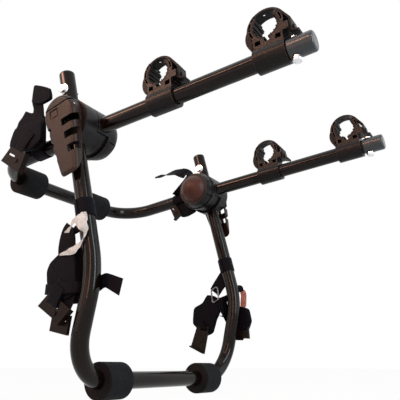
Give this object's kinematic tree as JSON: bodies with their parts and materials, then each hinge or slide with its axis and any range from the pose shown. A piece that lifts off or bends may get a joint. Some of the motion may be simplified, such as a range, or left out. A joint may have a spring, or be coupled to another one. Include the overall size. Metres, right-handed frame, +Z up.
{
  "type": "boot mounted bike carrier",
  "caption": "Strap-on car carrier for bicycles: a bent lower frame, a folding upper frame and two folding arms with rubber cradles on locking hubs.",
  "frame": {"origin": "the middle of the hub axis, where both arms and the upper frame turn", "axes": "+X out along the bicycle arms, away from the car; +Y to the right hub; +Z up"},
  "size_m": [0.6264, 0.482, 0.5096],
  "materials": {
    "gloss_black_tube": "gloss",
    "foam": "matte",
    "cover_plastic": "satin",
    "cap_plastic": "satin",
    "hub_plastic": "satin",
    "plug_plastic": "satin",
    "zinc": "bright",
    "rubber": "satin",
    "cradle_plastic": "satin",
    "coated_hook": "satin",
    "buckle_plastic": "satin",
    "tag_paper": "matte",
    "webbing": "woven"
  },
  "bodies": {
    "lower_frame": {"blank_tag": "tag_paper", "hub_axle_left": "zinc", "hub_axle_right": "zinc", "hub_cap_left": "cap_plastic", "hub_cap_right": "cap_plastic", "hub_end_left": "hub_plastic", "hub_end_right": "hub_plastic", "hub_nuts": "zinc", "hub_shell_left": "hub_plastic", "hub_shell_right": "hub_plastic", "leg_bolts": "zinc", "leg_buckle_left": "buckle_plastic", "leg_buckle_right": "buckle_plastic", "leg_caps": "plug_plastic", "leg_hook_left": "coated_hook", "leg_hook_right": "coated_hook", "leg_nuts": "zinc", "leg_rivets": "zinc", "leg_strap_left": "webbing", "leg_strap_right": "webbing", "leg_washers": "zinc", "lever_pins": "zinc", "lower_frame_tube": "gloss_black_tube", "lower_roller_left": "foam", "lower_roller_right": "foam", "wire_ring": "zinc"},
    "upper_frame": {"frame_knuckle_left": "hub_plastic", "frame_knuckle_right": "hub_plastic", "upper_frame_tube": "gloss_black_tube", "upper_hook_left": "coated_hook", "upper_hook_right": "coated_hook", "upper_rivets": "zinc", "upper_roller_left": "foam", "upper_roller_right": "foam", "upper_strap_left": "webbing", "upper_strap_right": "webbing"},
    "lever_left": {"lever_left": "cover_plastic"},
    "arm_left": {"arm_bolt_left": "zinc", "arm_cap_left": "plug_plastic", "arm_knuckle_left": "hub_plastic", "arm_nut_left": "zinc", "arm_tube_left": "gloss_black_tube"},
    "cradle_1_left": {"cradle_1_left": "cradle_plastic", "cradle_1_liner_left": "rubber", "cradle_1_strap_left": "rubber"},
    "cradle_2_left": {"cradle_2_left": "cradle_plastic", "cradle_2_liner_left": "rubber", "cradle_2_strap_left": "rubber"},
    "lever_right": {"lever_right": "cover_plastic"},
    "arm_right": {"arm_bolt_right": "zinc", "arm_cap_right": "plug_plastic", "arm_knuckle_right": "hub_plastic", "arm_nut_right": "zinc", "arm_tube_right": "gloss_black_tube"},
    "cradle_1_right": {"cradle_1_liner_right": "rubber", "cradle_1_right": "cradle_plastic", "cradle_1_strap_right": "rubber"},
    "cradle_2_right": {"cradle_2_liner_right": "rubber", "cradle_2_right": "cradle_plastic", "cradle_2_strap_right": "rubber"}
  },
  "joints": [
    {"name": "upper_frame_turn", "type": "hinge", "parent": "lower_frame", "child": "upper_frame", "pos_m": [0, 0, 0], "axis": [0, -1, 0], "range_deg": [-12, 50]},
    {"name": "arm_fold_left", "type": "hinge", "parent": "lower_frame", "child": "arm_left", "pos_m": [0, -0.1802, 0], "axis": [0, 1, 0], "range_deg": [0, 70]},
    {"name": "lever_release_left", "type": "hinge", "parent": "lower_frame", "child": "lever_left", "pos_m": [-0.00381, -0.233, 0.01451], "axis": [-0.9673, 0, -0.2538], "range_deg": [0, 40]},
    {"name": "cradle_1_slide_left", "type": "slide", "parent": "arm_left", "child": "cradle_1_left", "axis": [0.9965, 0, 0.0837], "range_m": [-0.025, 0.035]},
    {"name": "cradle_2_slide_left", "type": "slide", "parent": "arm_left", "child": "cradle_2_left", "axis": [0.9965, 0, 0.0837], "range_m": [-0.05, 0]},
    {"name": "arm_fold_right", "type": "hinge", "parent": "lower_frame", "child": "arm_right", "pos_m": [0, 0.1802, 0], "axis": [0, 1, 0], "range_deg": [0, 70]},
    {"name": "lever_release_right", "type": "hinge", "parent": "lower_frame", "child": "lever_right", "pos_m": [-0.00381, 0.233, 0.01451], "axis": [0.9673, 0, 0.2538], "range_deg": [0, 40]},
    {"name": "cradle_1_slide_right", "type": "slide", "parent": "arm_right", "child": "cradle_1_right", "axis": [0.9965, 0, 0.0837], "range_m": [-0.033, 0.027]},
    {"name": "cradle_2_slide_right", "type": "slide", "parent": "arm_right", "child": "cradle_2_right", "axis": [0.9965, 0, 0.0837], "range_m": [-0.047, 0.003]}
  ]
}
